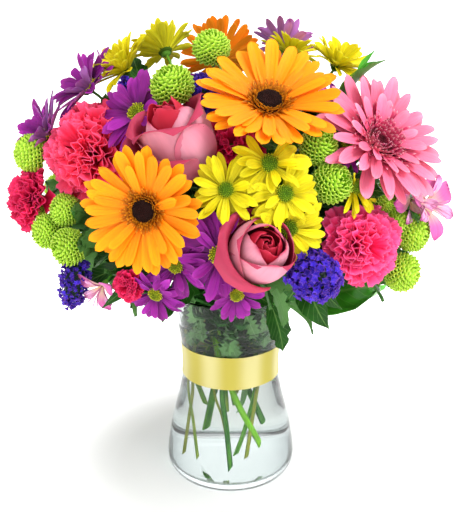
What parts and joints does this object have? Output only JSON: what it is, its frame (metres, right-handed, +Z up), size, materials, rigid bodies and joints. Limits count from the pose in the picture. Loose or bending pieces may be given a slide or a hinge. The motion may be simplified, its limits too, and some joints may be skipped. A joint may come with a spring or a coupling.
{
  "type": "vase of flowers",
  "caption": "Round mixed bouquet of gerberas, roses, carnations, daisies and button blooms in a flared clear glass vase of water with a satin ribbon band.",
  "frame": {"origin": "middle of the vase's underside", "axes": "+Z up along the vase's axis, the bouquet's front towards -Y, the picture's right towards +X"},
  "size_m": [0.4007, 0.3967, 0.486],
  "materials": {
    "glass": "clear, polished",
    "water": "clear water, stated as glass",
    "ribbon": "satin ribbon",
    "stem": "fresh green stems and leaves",
    "petal_orange": "fresh petals",
    "disc_dark": "disc of fine florets",
    "petal_pink": "fresh petals",
    "disc_rose": "disc of fine florets",
    "rose_coral": "fresh petals",
    "carnation_coral": "fresh petals",
    "carnation_pink": "fresh petals",
    "carnation_crimson": "fresh petals",
    "petal_yellow": "fresh petals",
    "petal_purple": "fresh petals",
    "button_green": "tight ball of petals",
    "statice_violet": "papery florets",
    "alstroemeria_pink": "fresh petals",
    "leaf_green": "glossy leaf"
  },
  "bodies": {
    "root": {"alstroemeria_low": "alstroemeria_pink", "alstroemeria_right": "alstroemeria_pink", "button_chrysanthemum_far_left": "button_green", "button_chrysanthemum_left": "button_green", "button_chrysanthemum_low_right": "button_green", "button_chrysanthemum_top": "button_green", "button_chrysanthemums_back": "button_green", "button_chrysanthemums_left": "button_green", "button_chrysanthemums_middle": "button_green", "button_chrysanthemums_right": "button_green", "carnation_coral": "carnation_coral", "carnation_coral_back": "carnation_coral", "carnation_crimson_left": "carnation_crimson", "carnation_crimson_low": "carnation_crimson", "carnation_crimson_middle": "carnation_crimson", "carnation_pink": "carnation_pink", "carnation_pink_back": "carnation_pink", "daisies_purple_back": "petal_purple", "daisies_purple_low": "petal_purple", "daisies_purple_right": "petal_purple", "daisies_yellow_back": "petal_yellow", "daisies_yellow_front": "petal_yellow", "daisy_purple_far_left": "petal_purple", "daisy_purple_middle_left": "petal_purple", "daisy_purple_top": "petal_purple", "daisy_purple_upper_left": "petal_purple", "daisy_yellow_far_left": "petal_yellow", "daisy_yellow_right": "petal_yellow", "daisy_yellow_top": "petal_yellow", "daisy_yellow_top_left": "petal_yellow", "daisy_yellow_top_right": "petal_yellow", "gerbera_orange_back": "petal_orange", "gerbera_orange_back_disc": "disc_dark", "gerbera_orange_left": "petal_orange", "gerbera_orange_left_disc": "disc_dark", "gerbera_orange_side": "petal_orange", "gerbera_orange_side_disc": "disc_dark", "gerbera_orange_top": "petal_orange", "gerbera_orange_top_disc": "disc_dark", "gerbera_pink": "petal_pink", "gerbera_pink_back": "petal_pink", "gerbera_pink_back_disc": "disc_rose", "gerbera_pink_disc": "disc_rose", "leaf_large": "leaf_green", "leaves_top_right": "leaf_green", "ribbon_band": "ribbon", "rose_back": "rose_coral", "rose_left": "rose_coral", "rose_lower": "rose_coral", "rose_right": "rose_coral", "rose_upper": "rose_coral", "statice_back": "statice_violet", "statice_left": "statice_violet", "statice_middle": "statice_violet", "statice_right": "statice_violet", "stems_and_foliage": "stem", "vase_glass": "glass", "vase_water": "water"}
  },
  "joints": []
}
